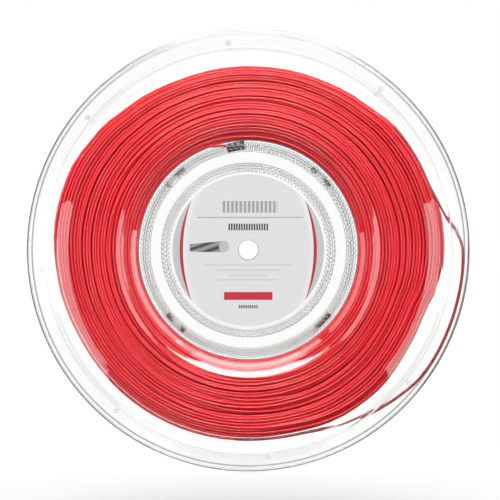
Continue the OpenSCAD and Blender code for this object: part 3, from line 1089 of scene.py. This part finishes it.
# %% The floor
FLOOR_DROP = 30 * MM
FLOOR_R = 0.6
FLOOR_SEEN, FLOOR_BOUNCE = "#f2f2f2", "#747474"
FLOOR_LIFT = 0.3

pale_floor, tree = new_material("pale_floor")
paths = add(tree, "LightPath")
unmirrored = add(tree, "Math", {0: paths.outputs["Glossy Depth"], 1: 0.5}, operation="LESS_THAN")
seen_through = add(tree, "Math", {
    0: paths.outputs["Is Transmission Ray"], 1: unmirrored,
}, operation="MULTIPLY")
in_picture = add(tree, "Math", {
    0: paths.outputs["Is Camera Ray"], 1: seen_through,
}, operation="MAXIMUM")
floor_colour = add(tree, "Mix", {
    "Factor": in_picture, 6: linear(FLOOR_BOUNCE), 7: linear(FLOOR_SEEN),
}, data_type="RGBA")
matt = add(tree, "BsdfDiffuse", {"Color": floor_colour.outputs[2]})
lift_share = add(tree, "Math", {0: in_picture, 1: FLOOR_LIFT}, operation="MULTIPLY")
lift = add(tree, "Emission", {"Color": linear("#ffffff"), "Strength": lift_share})
whole_floor = add(tree, "AddShader", {0: matt, 1: lift})
add(tree, "OutputMaterial", {0: whole_floor})

all_off()
bpy.ops.mesh.primitive_circle_add(
    vertices=96, radius=FLOOR_R, fill_type="NGON", location=(0, 0, rim_low.z - FLOOR_DROP)
)
floor = bpy.context.object
floor.name = "floor"
floor.data.materials.append(pale_floor)


# %% The lamps
FRONT_ABOVE, OVERHEAD = (0, -0.81, 0.586), (0, -0.3, 0.954)


def softbox(name, towards, away, wide, high, radiance, gloss_only=False):
    """A lamp in a direction from the reel, turned to it, as bright as its radiance says."""
    size = math.sqrt(sum(c * c for c in towards))
    spot = [c / size * away for c in towards]
    data = bpy.data.lights.new(name, "AREA")
    data.shape, data.size, data.size_y = "RECTANGLE", wide, high
    data.energy = radiance * math.pi * wide * high
    lamp = bpy.data.objects.new(name, data)
    bpy.context.scene.collection.objects.link(lamp)
    lamp.location = spot
    lamp.rotation_euler = lamp.location.to_track_quat("Z", "Y").to_euler()
    lamp.visible_diffuse = not gloss_only
    return lamp


softbox("softbox_front_above", FRONT_ABOVE, 1.3, 0.83, 0.72, 8.8)
softbox("card_front_above", FRONT_ABOVE, 1.3, 0.83, 0.72, 4.0, gloss_only=True)
softbox("softbox_overhead", OVERHEAD, 1.2, 1.2, 0.74, 1.8)
softbox("card_overhead", (0, -0.12, 0.99), 1.2, 1.9, 0.8, 3.4, gloss_only=True)
for name, side in (("softbox_left", -1), ("softbox_right", 1)):
    softbox(name, (0.36 * side, -0.93, 0.04), 1.3, 0.6, 0.27, 1.9)

back_lamp = softbox("softbox_behind", (0, 0.98, 0.17), 1.3, 1.2, 0.4, 6.0)
back_lamp.visible_camera = back_lamp.visible_glossy = back_lamp.visible_transmission = False
softbox("card_right", (0.92, -0.1, 0.37), 1.2, 0.7, 1.5, 3.6, gloss_only=True)
softbox("card_left", (-0.95, -0.1, 0.3), 1.2, 0.7, 1.2, 2.0, gloss_only=True)

# %% The surroundings
FILL, GLOSS_SEES = 0.1, 0.04
SEEN_STRAIGHT, SEEN_ASIDE = 1.18, 0.14
STRAIGHT, ASIDE = math.sin(math.radians(4)), math.sin(math.radians(22))

world = bpy.data.worlds.new("surroundings")
bpy.context.scene.world = world
world.use_nodes = True
tree = world.node_tree
tree.nodes.clear()
paths = add(tree, "LightPath")
away = add(tree, "SeparateXYZ", {0: add(tree, "TexCoord").outputs["Generated"]}).outputs["Y"]
squared = add(tree, "Math", {0: away, 1: away}, operation="MULTIPLY")
rest = add(tree, "Math", {0: 1.0, 1: squared}, operation="SUBTRACT")
aside = add(tree, "Math", {0: rest}, operation="SQRT")
backdrop = add(tree, "MapRange", {
    "Value": aside, "From Min": STRAIGHT, "From Max": ASIDE,
    "To Min": SEEN_STRAIGHT, "To Max": SEEN_ASIDE,
})
unscattered = add(tree, "Math", {0: paths.outputs["Diffuse Depth"], 1: 0.5}, operation="LESS_THAN")
unmirrored = add(tree, "Math", {0: paths.outputs["Glossy Depth"], 1: 0.5}, operation="LESS_THAN")
to_the_back = add(tree, "Math", {0: away, 1: 0.0}, operation="GREATER_THAN")
onward = add(tree, "Math", {0: unmirrored, 1: to_the_back}, operation="MAXIMUM")
in_view = add(tree, "Math", {0: unscattered, 1: onward}, operation="MULTIPLY")
through = add(tree, "Mix", {"Factor": in_view, 2: GLOSS_SEES, 3: backdrop})
other = add(tree, "Mix", {"Factor": paths.outputs["Is Glossy Ray"], 2: FILL, 3: GLOSS_SEES})
beyond = add(tree, "Mix", {
    "Factor": paths.outputs["Is Transmission Ray"], 2: other, 3: through,
})
strength = add(tree, "Mix", {
    "Factor": paths.outputs["Is Camera Ray"], 2: beyond, 3: 1.0,
})
sky = add(tree, "Background", {"Color": (1.0, 1.0, 1.0, 1.0), "Strength": strength})
add(tree, "OutputWorld", {0: sky})
bpy.context.scene.view_settings.view_transform = "Standard"
